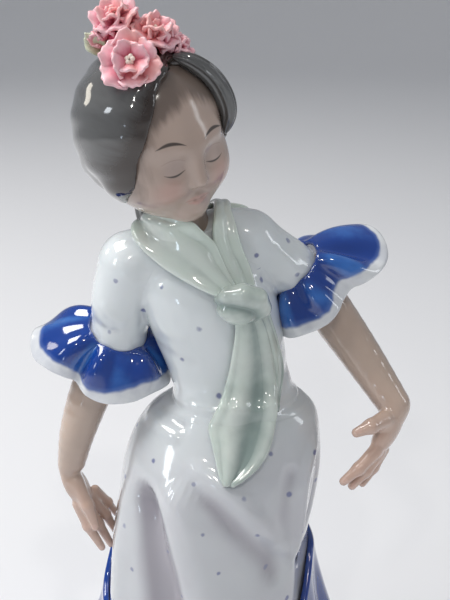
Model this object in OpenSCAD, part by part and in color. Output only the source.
// Slip-cast porcelain figurine: a young dancer in a dotted dress with ruffled
// sleeves, a knotted kerchief and a cluster of hand-made flowers in her hair.
// Millimetres. +Z is up and the dancer faces -Y, so her own right is -X.
// The origin is the centre of the foot ring that the figurine stands on.
// Every casting is its own solid, and each sits where the maker lutes it on.

/* [Base] */
// Radius of the closing plate under the skirt
base_r = 37; // [34:0.5:39]
// Thickness of the closing plate
base_h = 4; // [3:0.5:5]
// Width of the foot ring that touches the shelf
foot_ring_w = 5; // [3:0.5:8]
// Height of the foot ring below the plate
foot_ring_h = 1.2; // [0.8:0.1:1.6]
// Radius of the firing vent through the plate
vent_r = 4; // [2.5:0.5:6]

/* [Skirt] */
// Wall thickness of the big castings
wall = 2.6; // [2:0.1:3.2]
// Height of the waist seam between skirt and bodice
waist_z = 100.5; // [99:0.5:102]
// Depth of the drapery folds in the skirt
fold_depth = 0.9; // [0:0.1:1.6]
// Number of folds round the skirt
fold_count = 9; // [6:1:12]

/* [Flounces] */
// Height at which the blue flounce is luted to the front of the skirt
flounce_top_z = 46.5; // [44:0.5:50]
// How much higher the flounce is swept up round her left side and back
flounce_rise = 15.5; // [8:0.5:18]
// Height of the blue flounce's lower edge
flounce_hem_z = 7; // [6:0.5:10]
// Radius of the blue flounce's lower edge, without its ruffles
flounce_hem_r = 43; // [41:0.5:44]
// Ruffle height at the blue flounce's lower edge
flounce_ruffle = 2.5; // [1:0.1:3]
// Number of ruffles round the flounce
flounce_lobes = 10; // [8:1:12]
// Thickness of the flounces and frills
sheet_t = 1.6; // [1.2:0.1:2]

/* [Bodice] */
// Sideways lean of the bodice towards the dancer's right, in degrees
bodice_lean = 14.5; // [10:0.5:18]
// Turn of the bodice towards the dancer's left, in degrees
bodice_turn = 10; // [5:1:15]
// Height of the bodice from the waist seam to the neck
bodice_len = 38.7; // [37:0.1:40]

/* [Head] */
// Sideways tilt of the head, in degrees
head_tilt = 14; // [8:1:20]
// Downward nod of the head, in degrees
head_nod = 18; // [10:1:24]
// Turn of the head towards the dancer's left, in degrees
head_turn = 36; // [25:1:45]
// Radius of the bare cranium
cranium_r = 13.4; // [13:0.1:13.8]
// Thickness of the modelled hair over the cranium
hair_t = 2.5; // [2:0.1:3]

/* [Arms] */
// Radius of the upper end of each forearm
elbow_r = 4.4; // [4:0.1:4.8]
// Radius of each wrist
wrist_r = 3.3; // [3:0.1:3.6]
// Wall thickness of the sleeves
sleeve_wall = 1.5; // [1.2:0.1:1.6]

/* [Hidden] */
$fn = 48;

// Places of the joints
waist_c = [6.5, -0.5, waist_z];
head_c = [-9.3, -3, 159.5];
right_wrist = [-31.8, -1, 82];
left_wrist = [41.2, -4.9, 100.4];
flower_c = [-13.6, -5.4, 174.8];

// Small tools

function unit(v) = v / norm(v);
function mix(a, b, t) = a + (b - a) * t;
function ease(t) = t <= 0 ? 0 : t >= 1 ? 1 : t * t * (3 - 2 * t);

// A smooth curve through a table of [x, value] rows, read at x
function row_slope(tab, i) =
    let (a = max(i - 1, 0), b = min(i + 1, len(tab) - 1))
    (tab[b][1] - tab[a][1]) / (tab[b][0] - tab[a][0]);
function curve(tab, x, i = 0) =
    x <= tab[0][0] ? tab[0][1]
    : i >= len(tab) - 1 ? tab[len(tab) - 1][1]
    : x > tab[i + 1][0] ? curve(tab, x, i + 1)
    : let (
        h = tab[i + 1][0] - tab[i][0],
        t = (x - tab[i][0]) / h,
        m0 = row_slope(tab, i) * h,
        m1 = row_slope(tab, i + 1) * h,
        t2 = t * t,
        t3 = t2 * t
    )
    (2 * t3 - 3 * t2 + 1) * tab[i][1] + (t3 - 2 * t2 + t) * m0
        + (3 * t2 - 2 * t3) * tab[i + 1][1] + (t3 - t2) * m1;

// A closed skin over rings of equal length: the last ring joins the first,
// which makes a wall with an inner and an outer face.
module wall_solid(rings) {
    n = len(rings[0]);
    m = len(rings);
    points = [for (r = rings) for (p = r) p];
    faces = [
        for (j = [0 : m - 1]) for (i = [0 : n - 1])
            let (
                a = j * n + i,
                b = j * n + (i + 1) % n,
                c = ((j + 1) % m) * n + (i + 1) % n,
                d = ((j + 1) % m) * n + i
            )
            each [[a, c, b], [a, d, c]]
    ];
    polyhedron(points, faces);
}

// A closed skin over rings, with a point capping each end
module capped_solid(rings, foot, tip) {
    n = len(rings[0]);
    m = len(rings);
    points = concat([for (r = rings) for (p = r) p], [foot, tip]);
    faces = concat(
        [for (j = [0 : m - 2]) for (i = [0 : n - 1])
            let (
                a = j * n + i,
                b = j * n + (i + 1) % n,
                c = (j + 1) * n + (i + 1) % n,
                d = (j + 1) * n + i
            )
            each [[a, c, b], [a, d, c]]],
        [for (i = [0 : n - 1]) [i, (i + 1) % n, m * n]],
        [for (i = [0 : n - 1]) [(m - 1) * n + (i + 1) % n, (m - 1) * n + i, m * n + 1]]
    );
    polyhedron(points, faces);
}

// Two directions square to d, the first as near to `wide` as it can be
function across(d, wide) = unit(wide - d * (wide * d));
function oval_ring(c, d, wide, rx, ry, n) =
    let (u = across(d, wide), v = cross(d, u))
    [for (i = [0 : n - 1]) let (a = 360 * i / n) c + u * rx * cos(a) + v * ry * sin(a)];

// Direction of a path at its point i
function heading(path, i) =
    unit(path[min(i + 1, len(path) - 1)] - path[max(i - 1, 0)]);

// A flat band that follows a path, w wide and t thick at each point
module band(path, wide, w, t, n = 12) {
    last = len(path) - 1;
    rings = [for (i = [0 : last])
        oval_ring(path[i], heading(path, i), wide[i], w[i] / 2, t[i] / 2, n)];
    capped_solid(rings, path[0] - heading(path, 0) * 0.4, path[last] + heading(path, last) * 0.4);
}

// A round limb along a path, with radius r[i] at each point and its ends flat or domed
module limb(path, r, dome_start = false, dome_end = true, n = 16) {
    last = len(path) - 1;
    wide = [0.31, 0.9, 0.27];
    d0 = heading(path, 0);
    d1 = heading(path, last);
    body = [for (i = [0 : last]) oval_ring(path[i], heading(path, i), wide, r[i], r[i], n)];
    a = 0.8 * r[0];
    b = 0.8 * r[last];
    start = dome_start ? [oval_ring(path[0] - d0 * 0.75 * a, d0, wide, a, a, n)] : [];
    end = dome_end ? [oval_ring(path[last] + d1 * 0.75 * b, d1, wide, b, b, n)] : [];
    capped_solid(concat(start, body, end), path[0] - (dome_start ? d0 * r[0] : [0, 0, 0]),
        path[last] + (dome_end ? d1 * r[last] : [0, 0, 0]));
}

// Skirt

// Half width, front-to-back share of it, and sideways place, by height
skirt_half_w = [[9, 31], [25, 28], [42, 25.2], [52, 24.2], [64, 23.2], [75, 23], [85, 22.6],
    [92, 21.2], [97, 19], [99.6, 16], [100.5, 13.2]];
skirt_x = [[9, 0], [42, 0.4], [64, 0.3], [75, 2], [85, 3.4], [92, 4.4], [100.5, 6.5]];
skirt_depth = [[9, 0.97], [60, 0.95], [75, 0.92], [85, 0.85], [92, 0.75], [97, 0.69], [99.6, 0.7],
    [100.5, 0.8]];
skirt_y = [[9, 0], [60, -0.6], [85, -1.5], [100.5, -0.5]];
skirt_foot_z = 9;
skirt_levels = [9, 20, 31, 42, 52, 62, 72, 81, 88, 93, 97, 99.4, waist_z];

// How strongly the folds show at a height: none at the waist, most in the lower half
function fold_share(z) = 1 - ease((z - 55) / (waist_z - 62));
function skirt_fold(a, z) =
    fold_depth * fold_share(z) * (cos(fold_count * a + 1.1 * z) + 0.5 * cos((fold_count - 4) * a - 0.7 * z));
function skirt_ring(z, inset, n) =
    let (
        w = curve(skirt_half_w, z) - inset,
        d = curve(skirt_half_w, z) * curve(skirt_depth, z) - inset
    )
    [for (i = [0 : n - 1])
        let (a = 360 * i / n, f = skirt_fold(a, z))
        [curve(skirt_x, z) + (w + f) * cos(a), curve(skirt_y, z) + (d + f) * sin(a), z]];

module skirt() {
    n = 48;
    outer = [for (z = skirt_levels) skirt_ring(z, 0, n)];
    top = len(skirt_levels) - 1;
    inner = [for (k = [0 : top]) let (z = skirt_levels[top - k]) skirt_ring(z, wall, n)];
    color([0.88, 0.89, 0.93]) wall_solid(concat(outer, inner));
}

// Flounces

// Height of the flounce's upper edge at each angle from +X
function flounce_top(a) =
    let (turn = a > 270 ? a - 360 : a)
    flounce_top_z + flounce_rise * ease((turn + 50) / 48) * (1 - ease((turn - 140) / 52));
// A ruffled sheet that starts on the skirt's outline and opens to a round hem.
// Its ruffles grow downwards.
function flounce_ring(t, offset, n) =
    [for (i = [0 : n - 1])
        let (
            a = 360 * i / n,
            z = mix(flounce_top(a), flounce_hem_z, t),
            phase = flounce_lobes * a + 34 * sin(2 * a),
            wave = flounce_ruffle * pow(t, 0.9),
            spread = flounce_hem_r - curve(skirt_half_w, flounce_hem_z),
            w = curve(skirt_half_w, z) + skirt_fold(a, z),
            r = w + spread * pow(t, 1.8) + wave * cos(phase) + offset
        )
        [
            curve(skirt_x, z) + r * cos(a),
            curve(skirt_y, z) + r * mix(curve(skirt_depth, z), 1, t) * sin(a),
            z + 0.35 * wave * sin(phase)
        ]];
module hem_flounce() {
    n = 80;
    steps = 7;
    outer = [for (k = [0 : steps]) flounce_ring(1 - k / steps, sheet_t + 0.15, n)];
    inner = [for (k = [0 : steps]) flounce_ring(k / steps, 0.15, n)];
    color([0.16, 0.28, 0.62]) wall_solid(concat(outer, inner));
}

// A plain conical frill under the flounce
module petticoat_frill() {
    z0 = 1.2;
    z1 = 13;
    color([0.92, 0.92, 0.94]) rotate_extrude($fn = 96)
        polygon([[37.2, z1], [37.2 + sheet_t, z1], [42.4, z0], [42.4 - sheet_t, z0]]);
}

// A plate that closes the skirt, with a foot ring, a shallow recess and the vent
module base_plate() {
    lip_w = 3;
    color([0.9, 0.89, 0.86]) difference() {
        union() {
            cylinder(h = base_h, r = base_r);
            cylinder(h = 9, r = 27.6);
        }
        translate([0, 0, -1]) cylinder(h = 1 + foot_ring_h, r = base_r - foot_ring_w);
        translate([0, 0, -1]) cylinder(h = 12, r = vent_r);
        translate([0, 0, base_h]) cylinder(h = 9, r = 27.6 - lip_w);
    }
}

// Bodice: level at the waist seam, leaning over it, its shoulders slightly tilted

bodice_w = [[0, 13.3], [8, 13.5], [16, 14.4], [23, 14.8], [29, 14.1], [33, 11.6], [36.4, 7.8], [39, 5.4]];
bodice_d = [[0, 10.5], [8, 9.9], [16, 10.8], [23, 11.2], [29, 10.2], [33, 8.2], [36.4, 6.6], [39, 5.2]];
bodice_levels = [0, 5, 11, 17, 23, 28, 32, 35, 37.4, 39];
shoulder_tilt = 5;
bodice_wall = 1.8;
function bodice_spine(s) = waist_c + [-tan(bodice_lean) * s, 0.02 * s, s];
function bodice_ring(s, inset) =
    let (
        stretch = bodice_len / 39,
        tilt = shoulder_tilt * ease((s - 14) / 18) * (1 - ease((s - 34) / 5))
    )
    oval_ring(bodice_spine(s * stretch), [-sin(tilt), 0, cos(tilt)],
        [cos(bodice_turn), sin(bodice_turn), 0],
        curve(bodice_w, s) - inset, curve(bodice_d, s) - inset, 36);
module bodice() {
    top = len(bodice_levels) - 1;
    outer = [for (s = bodice_levels) bodice_ring(s, 0)];
    inner = [for (k = [0 : top]) bodice_ring(bodice_levels[top - k], bodice_wall)];
    color([0.88, 0.9, 0.94]) wall_solid(concat(outer, inner));
}

// Head and hair, modelled facing -Y about the middle of the head

module head_place() {
    translate(head_c) rotate([0, -head_tilt, 0]) rotate([0, 0, head_turn]) rotate([head_nod, 0, 0])
        children();
}
// The closed form of a head, grown or shrunk by g
module head_form(g) {
    hull($fn = 26) {
        translate([0, 1.6, 2.4]) sphere(r = cranium_r + g);
        for (s = [-1, 1]) translate([s * 3.6, -5, -4.4]) sphere(r = 7.4 + g);
        translate([0, -6.6, -10.4]) sphere(r = 4.3 + g);
    }
}
module nose() {
    hull($fn = 16) {
        translate([0, -12.3, -1]) sphere(r = 0.9);
        translate([0, -14, -4.6]) sphere(r = 1.15);
    }
}
module neck() {
    foot = bodice_spine(bodice_len);
    path = [foot, foot + [-0.7, -0.1, 2.6], foot + [-2.4, -0.6, 7]];
    color([0.8, 0.7, 0.64]) limb(path, [5.2, 4.4, 4.6], false, false, 24);
}
module head() {
    color([0.84, 0.75, 0.7]) head_place() {
        difference() {
            head_form(0);
            head_form(-2.2);
        }
        nose();
    }
}
// The hair stands over the cranium and leaves an oval window for the face
module hair_cap() {
    color([0.45, 0.41, 0.38]) head_place() difference() {
        hull($fn = 28) {
            translate([0, 2, 3]) sphere(r = cranium_r + hair_t);
            for (s = [-1, 1]) translate([s * 5.6, 0.6, -5]) sphere(r = 9.4);
            translate([0, 6, -7]) sphere(r = 7.6);
        }
        head_form(0.05);
        translate([0.6, -8.4, -0.8]) rotate([90, 0, 0]) scale([1, 1.42, 1])
            cylinder(h = 20, r = 10.2, center = true, $fn = 40);
    }
}
// A swept lock across the brow, and a gathered tail behind the neck
module hair_side_lock() {
    path = [[3.6, -1.9, 16.2], [6.8, -3.9, 14.4], [9.9, -5.3, 11], [12, -6, 6.6], [12.7, -6.3, 2.6],
        [12, -6, -1.6]];
    color([0.42, 0.37, 0.34]) head_place()
        band(path, [for (p = path) [0.3, 0.9, -0.5]], [2.8, 5, 5.8, 5.8, 4.8, 2.2],
            [1.8, 3.4, 4, 4.2, 3.4, 1.8], 16);
}
module hair_tail() {
    path = [[-12, 8.4, 150], [-12.6, 11, 144], [-12, 12.4, 137], [-10.6, 12.6, 130], [-9.4, 12.4, 124]];
    color([0.42, 0.39, 0.36])
        band(path, [for (p = path) [1, 0, 0]], [6, 7.4, 7.2, 6, 2.6], [4.6, 5, 4.4, 3.6, 2], 16);
}

// Sleeves, ruffles, arms and hands

// A hollow sleeve along a path, domed at the shoulder and open at its last point
module sleeve(path, radii) {
    n = 28;
    last = len(path) - 1;
    function sleeve_ring(k, inset) =
        oval_ring(path[k], heading(path, k), [0, 1, 0], radii[k] - inset, radii[k] - inset, n);
    outer = [for (k = [0 : last]) sleeve_ring(k, 0)];
    inner = [for (k = [0 : last - 1]) sleeve_ring(last - k, sleeve_wall)];
    capped_solid(concat(outer, inner), path[0] - heading(path, 0) * 0.6, mix(path[0], path[1], 0.6));
}
module right_sleeve() {
    path = [[-10.4, -0.6, 135.6], [-13, -0.5, 134.2], [-16, -0.3, 130.2], [-17.9, 0.5, 124],
        [-18.9, 1, 119.4], [-19.6, 1.4, 115.2]];
    color([0.88, 0.89, 0.93]) sleeve(path, [3.2, 5.6, 6.6, 6.4, 6.3, 6.3]);
}
module left_sleeve() {
    path = [[3.4, 2.6, 137.4], [6, 2.8, 136.8], [9.4, 3.1, 135.2], [12.8, 4, 132.8], [16.2, 5, 130.2],
        [19.6, 6.2, 127.8]];
    color([0.88, 0.89, 0.93]) sleeve(path, [3.4, 5.4, 6.4, 6.2, 6, 5.9]);
}

// A bell of ruffled sheet, from a ring round the end of a sleeve to an oval rim.
// `long` and `short` are the rim's half axes, as vectors.
module sleeve_ruffle(root, axis, root_r, rim, long, short, lobes, wave, phase) {
    n = 56;
    steps = 4;
    t_sheet = 1.2;
    u = across(axis, long);
    v = cross(axis, u);
    turn = short * v > 0 ? 1 : -1;
    out = unit(cross(u, v));
    function ruffle_point(t, a, r) =
        mix(root + (u * cos(a) + v * sin(a)) * root_r, rim + long * cos(a) + short * turn * sin(a), t)
            + (u * cos(a) + v * sin(a)) * r
            + out * wave * pow(t, 1.2) * sin(lobes * a + phase) * 0.5;
    function ruffle_ring(t, offset) =
        [for (i = [0 : n - 1])
            let (
                a = 360 * i / n,
                bell = 1.2 * sin(180 * t) + wave * 0.6 * pow(t, 1.2) * cos(lobes * a + phase)
            )
            ruffle_point(t, a, bell + offset)];
    outer = [for (k = [0 : steps]) ruffle_ring(k / steps, t_sheet / 2)];
    inner = [for (k = [0 : steps]) ruffle_ring(1 - k / steps, -t_sheet / 2)];
    wall_solid(concat(outer, inner));
}
module right_sleeve_ruffle() {
    color([0.16, 0.28, 0.62])
        sleeve_ruffle([-19.7, 1.4, 114.6], unit([-0.33, 0.41, -0.94]), 6.6, [-23.8, 2.4, 107.2],
            [-14.3, 4.4, 4.6], [4.2, 10.4, 2.3], 7, 1.5, 0);
}
module left_sleeve_ruffle() {
    color([0.16, 0.28, 0.62])
        sleeve_ruffle([20, 6.3, 128.2], unit([0.7, 0.24, -0.68]), 6.2, [28.6, 7.4, 124.2],
            [9.2, 8, 9.2], [-6, 7.8, -0.7], 7, 1.5, 40);
}

// Plug in the sleeve, elbow and forearm, as one casting ending flat at the wrist
module right_forearm() {
    path = [[-18.2, 0.7, 122.4], [-19.2, 1.2, 117.4], [-20.8, 1.7, 111.8], [-23.4, 2.4, 106.6],
        [-26.6, 0.2, 99.4], [-29.8, -0.6, 90.5], right_wrist];
    color([0.72, 0.62, 0.56]) limb(path, [5, 4.4, elbow_r + 0.2, elbow_r + 0.4, elbow_r,
        mix(elbow_r, wrist_r, 0.6), wrist_r], false, false, 20);
}
module left_forearm() {
    path = [[15.2, 4.8, 131], [18.4, 5.8, 128.6], [22.4, 7.1, 124.8], [26.4, 7.6, 119.2], [30, 5, 114.4],
        [36, -0.2, 107], left_wrist];
    color([0.72, 0.62, 0.56]) limb(path, [4.7, 4.2, elbow_r + 0.1, elbow_r + 0.3, elbow_r,
        mix(elbow_r, wrist_r, 0.6), wrist_r], false, false, 20);
}

// One tapering finger from its root in the palm, through the middle joint, to its tip
module finger(root, bend, tip, r) {
    path = [root, mix(root, bend, 0.6), bend, mix(bend, tip, 0.5), tip];
    limb(path, [r * 0.9, r, r * 0.95, r * 0.85, r * 0.6], n = 10);
}
// A palm from the flat wrist joint at `from` to the knuckles at `to`, broad along `wide`
module palm(from, to, wide) {
    d = unit(to - from);
    span = norm(to - from);
    rings = [
        oval_ring(from, d, wide, wrist_r, wrist_r, 18),
        oval_ring(from + d * span * 0.25, d, wide, wrist_r * 0.98, wrist_r * 0.86, 18),
        oval_ring(from + d * span * 0.6, d, wide, wrist_r * 1.16, wrist_r * 0.74, 18),
        oval_ring(from + d * span * 0.88, d, wide, wrist_r * 1.12, wrist_r * 0.64, 18),
        oval_ring(to, d, wide, wrist_r * 0.9, wrist_r * 0.44, 18)
    ];
    capped_solid(rings, from, to + d * 0.4);
}
module right_hand() {
    color([0.78, 0.67, 0.6]) {
        palm(right_wrist, [-28.9, -0.9, 71.8], [0.25, 0.93, 0.2]);
        finger([-30.2, -2.8, 73], [-28.4, -3.6, 66.8], [-25.9, -3.2, 61.2], 1.4);
        finger([-29.2, -1.2, 72.4], [-26.4, -0.6, 65.2], [-24.2, 0.7, 59.2], 1.4);
        finger([-28, 0.6, 72.4], [-25, 2.2, 66], [-23.1, 4, 60.4], 1.35);
        finger([-27.4, 1.8, 73.4], [-24.6, 4.4, 68], [-23.2, 6.2, 64.2], 1.2);
        finger([-30.6, -2.4, 78.6], [-28, -4.6, 73], [-26.6, -5.1, 68.4], 1.5);
    }
}
module left_hand() {
    color([0.78, 0.67, 0.6]) {
        palm(left_wrist, [38.4, -8.9, 91.8], [0.35, 0.75, -0.55]);
        finger([37.4, -10.4, 92], [33.2, -12.9, 88.4], [30.6, -13.8, 86.4], 1.45);
        finger([38.2, -9.2, 91], [35, -11.2, 86.8], [32.6, -12, 84.2], 1.45);
        finger([39.2, -7.4, 91], [37.2, -8.4, 86], [35.2, -9.4, 83.2], 1.4);
        finger([39.9, -5.8, 91.8], [38.8, -5.6, 87], [37.3, -6.4, 84.4], 1.25);
        finger([38.8, -9, 98.2], [35.4, -12.2, 98.6], [32.8, -13, 97.8], 1.6);
    }
}

// Kerchief: two fronts, a pointed back, a knot and two tails

module shawl_right_front() {
    path = [[-11, 6, 141.6], [-12.6, 2, 140.8], [-10.4, -2.8, 139.4], [-6, -7.2, 137.2], [-1, -10, 134.8],
        [3.2, -11.4, 131.4], [6, -12.2, 128.8]];
    wide = [[3, -0.6, 4.2], [3, -0.4, 3], [3.6, -1.4, 4.2], [5.5, -1, 6], [6.6, 0.6, 7], [3.4, 0.8, 5.4],
        [1.8, 0.4, 3]];
    color([0.78, 0.83, 0.76])
        band(path, wide, [5, 5.4, 7, 9.8, 9.6, 6.4, 4], [2, 2.2, 2.6, 3, 3, 3, 2.6], 16);
}
module shawl_left_front() {
    path = [[1.8, 7, 142.4], [3, 2.6, 144], [3.6, -2.2, 142.6], [4, -5.2, 139.4], [5, -6.8, 136.2],
        [6.8, -8, 132.4], [8.4, -9.8, 128.6]];
    wide = [[3.4, 0.4, -1.4], [3.4, 0.4, -1.6], [3.6, 1.6, -1.6], [5, 1.8, -1.6], [6.2, 2, -1.6],
        [6, 1.8, -0.6], [4, 0.6, 0]];
    color([0.78, 0.83, 0.76])
        band(path, wide, [4, 4.2, 5, 6.2, 6.8, 6.4, 4.4], [2, 2.2, 2.4, 2.8, 3, 3, 2.8], 16);
}
module shawl_back() {
    path = [[-4.2, 7.6, 139.8], [-3.4, 9.4, 136], [-1.8, 11, 130], [0, 12.2, 123], [1.4, 12.6, 116.4]];
    color([0.78, 0.83, 0.76])
        band(path, [for (p = path) [1, 0.15, 0.15]], [15, 22, 18, 10, 3], [2.2, 2.4, 2.4, 2.2, 1.6], 20);
}
// The knot is a padded lobe with the other end wrapped over its top and round one side
module shawl_knot() {
    lobe = [[2.6, -12.4, 125], [4.4, -12.8, 125.4], [6.4, -13, 125.7], [8.4, -12.8, 126], [10, -12.4, 126.4]];
    wrap = [[2.7, -12, 127.9], [4.8, -13.4, 129.2], [7.6, -13.8, 129.5], [10.4, -13.3, 128.5],
        [11.5, -12.5, 126.3], [10, -12.3, 124.3]];
    color([0.76, 0.82, 0.73]) {
        band(lobe, [for (p = lobe) [0, 0, 1]], [2.4, 4.8, 5.6, 4.8, 2.4], [2.4, 4.6, 5.6, 4.6, 2.4], 14);
        limb(wrap, [1.2, 1.8, 2.2, 2.1, 1.8, 1.2], true, true, 14);
        limb([[7.2, -9.6, 127], [7.3, -12, 127]], [3.2, 3], false, true, 14);
    }
}
module shawl_tail_outer() {
    path = [[8.2, -10.8, 124.8], [9.2, -10.8, 119.5], [9.7, -10.9, 114.5], [9.6, -11.2, 109.5],
        [8.9, -12.9, 104.5], [7.8, -14.9, 99.5], [7.4, -17.3, 94.5], [5.8, -19.6, 90.4]];
    wide = [for (p = path) [1, 0.26, 0]];
    color([0.78, 0.83, 0.76])
        band(path, wide, [6, 7.1, 8.9, 10.8, 13, 14, 11.4, 5.4],
            [2.4, 2.4, 2.6, 2.8, 2.8, 2.6, 2.4, 1.8], 16);
}
module shawl_tail_inner() {
    path = [[11.7, -7.8, 124], [13.4, -7.2, 118.6], [14.6, -6.7, 113.4], [15.4, -7, 108.2], [15, -10, 103]];
    color([0.75, 0.81, 0.73])
        band(path, [for (p = path) [1, 0.8, 0]], [3.6, 4, 4.2, 4, 2.4], [1.8, 1.8, 1.8, 1.8, 1.6], 12);
}

// Flowers, made petal by petal

// A cupped petal with a wavy outer edge, rooted at the origin and opening along +Z
module petal(length, width, cup, curl, wave) {
    nu = 4;
    nv = 3;
    thick = 0.5;
    function petal_at(i, j, side) =
        let (
            s = j / nv,
            x = (2 * i / nu - 1),
            spread = width / 2 * (0.3 + 0.7 * pow(sin(90 * min(1, s * 1.15)), 0.8)),
            edge = 1 - 0.16 * x * x * s,
            back = cup * length * s * s - curl * length * pow(s, 4) + 0.28 * width * x * x * (1 - 0.6 * s)
                + wave * s * cos(540 * x)
        )
        [x * spread, back + side * thick * (1 - 0.5 * s), length * s * edge];
    count = (nu + 1) * (nv + 1);
    points = [for (side = [0, 1]) for (j = [0 : nv]) for (i = [0 : nu]) petal_at(i, j, side)];
    function at(i, j, side) = side * count + j * (nu + 1) + i;
    sheet = [for (j = [0 : nv - 1]) for (i = [0 : nu - 1]) each [
        [at(i, j, 0), at(i, j + 1, 0), at(i + 1, j + 1, 0)],
        [at(i, j, 0), at(i + 1, j + 1, 0), at(i + 1, j, 0)],
        [at(i, j, 1), at(i + 1, j + 1, 1), at(i, j + 1, 1)],
        [at(i, j, 1), at(i + 1, j, 1), at(i + 1, j + 1, 1)]
    ]];
    ends = [for (i = [0 : nu - 1]) each [
        [at(i, 0, 0), at(i + 1, 0, 0), at(i + 1, 0, 1)],
        [at(i, 0, 0), at(i + 1, 0, 1), at(i, 0, 1)],
        [at(i, nv, 0), at(i, nv, 1), at(i + 1, nv, 1)],
        [at(i, nv, 0), at(i + 1, nv, 1), at(i + 1, nv, 0)]
    ]];
    sides = [for (j = [0 : nv - 1]) each [
        [at(0, j, 0), at(0, j, 1), at(0, j + 1, 1)],
        [at(0, j, 0), at(0, j + 1, 1), at(0, j + 1, 0)],
        [at(nu, j, 0), at(nu, j + 1, 1), at(nu, j, 1)],
        [at(nu, j, 0), at(nu, j + 1, 0), at(nu, j + 1, 1)]
    ]];
    polyhedron(points, concat(sheet, ends, sides));
}
// How much the lean of one petal differs from the next, in degrees
petal_sway = 7;
// Whorls of petals round a flower's own +Z axis: [count, length, width, lean, root radius]
module petals(whorls, cup, curl, wave) {
    for (k = [0 : len(whorls) - 1])
        for (i = [0 : whorls[k][0] - 1])
            rotate([0, 0, 360 * (i + 0.5 * k) / whorls[k][0] + 17 * k])
                translate([0, -whorls[k][4], 0.3 * k])
                    rotate([whorls[k][3] + petal_sway * sin(137 * i + 50), 0, 0])
                        petal(whorls[k][1], whorls[k][2], cup, curl, wave);
}
module stamens(count, length) {
    sphere(r = 0.9, $fn = 20);
    for (i = [0 : count - 1])
        rotate([0, 0, 360 * i / count]) rotate([22, 0, 0]) {
            cylinder(h = length, r = 0.28, $fn = 16);
            translate([0, 0, length]) sphere(r = 0.5, $fn = 20);
        }
}
module flower_place(at, axis) {
    d = unit(axis);
    translate(at) rotate([0, acos(d[2]), atan2(d[1], d[0])]) children();
}
front_at = [-13.2, -11, 173.9];
front_axis = [-0.02, -0.9, 0.44];
side_at = [-9.6, -5, 178.6];
side_axis = [0.36, -0.5, 0.78];
top_at = [-16.4, -4.6, 181.2];
top_axis = [-0.3, -0.52, 0.8];
small_at = [-5.6, -3.6, 176.4];
small_axis = [0.8, -0.3, 0.46];
bud_at = [-18.6, -5, 177.6];
bud_axis = [-0.8, -0.3, 0.5];

module flower_pad() {
    color([0.93, 0.62, 0.6]) difference() {
        translate(flower_c) sphere(r = 6.8);
        head_place() translate([0, 2, 3]) sphere(r = cranium_r + hair_t);
    }
}
module front_flower_petals() {
    color([0.95, 0.66, 0.66]) flower_place(front_at, front_axis)
        petals([[6, 6.4, 5.4, 70, 0.9], [5, 5.2, 4.8, 44, 0.6]], 0.1, 0.35, 0.35);
}
module front_flower_stamens() {
    color([0.98, 0.88, 0.86]) flower_place(front_at + 0.9 * unit(front_axis), front_axis) stamens(5, 1.8);
}
module side_flower_petals() {
    color([0.95, 0.66, 0.66]) flower_place(side_at, side_axis)
        petals([[5, 6, 5.6, 66, 0.9], [4, 5, 4.8, 40, 0.6]], 0.1, 0.35, 0.35);
}
module side_flower_stamens() {
    color([0.98, 0.88, 0.86]) flower_place(side_at + 0.9 * unit(side_axis), side_axis) stamens(4, 1.6);
}
module top_flower_petals() {
    color([0.95, 0.66, 0.66]) flower_place(top_at, top_axis)
        petals([[5, 5.8, 5.6, 64, 0.9], [4, 4.8, 4.6, 38, 0.6]], 0.1, 0.35, 0.35);
}
module top_flower_stamens() {
    color([0.98, 0.88, 0.86]) flower_place(top_at + 0.9 * unit(top_axis), top_axis) stamens(4, 1.6);
}
module small_flower_petals() {
    color([0.95, 0.6, 0.56]) flower_place(small_at, small_axis)
        petals([[5, 4.4, 3.9, 48, 0.6]], 0.1, 0.3, 0.25);
}
module flower_bud() {
    color([0.95, 0.78, 0.76]) flower_place(bud_at, bud_axis)
        petals([[4, 4.2, 3.6, 18, 0.5]], 0.05, 0.2, 0.15);
}
module flower_leaves() {
    color([0.74, 0.78, 0.62]) {
        flower_place([-18.4, -5.4, 175.6], [-0.66, -0.3, 0.68]) petal(5.4, 3.4, 0.05, 0.2, 0);
        flower_place([-17, -0.6, 177], [-0.5, 0.74, 0.44]) petal(5.4, 3.4, 0.05, 0.2, 0);
        flower_place([-12.6, 0.4, 178.4], [0.1, 0.84, 0.52]) petal(5.4, 3.4, 0.05, 0.2, 0);
        flower_place([-9, -1.4, 177.6], [0.5, 0.7, 0.5]) petal(5.4, 3.4, 0.05, 0.2, 0);
    }
}

base_plate();
petticoat_frill();
hem_flounce();
skirt();
bodice();
neck();
head();
hair_cap();
hair_side_lock();
hair_tail();
right_sleeve();
left_sleeve();
right_sleeve_ruffle();
left_sleeve_ruffle();
right_forearm();
left_forearm();
right_hand();
left_hand();
shawl_back();
shawl_right_front();
shawl_left_front();
shawl_knot();
shawl_tail_outer();
shawl_tail_inner();
flower_pad();
front_flower_petals();
front_flower_stamens();
side_flower_petals();
side_flower_stamens();
top_flower_petals();
top_flower_stamens();
small_flower_petals();
flower_bud();
flower_leaves();
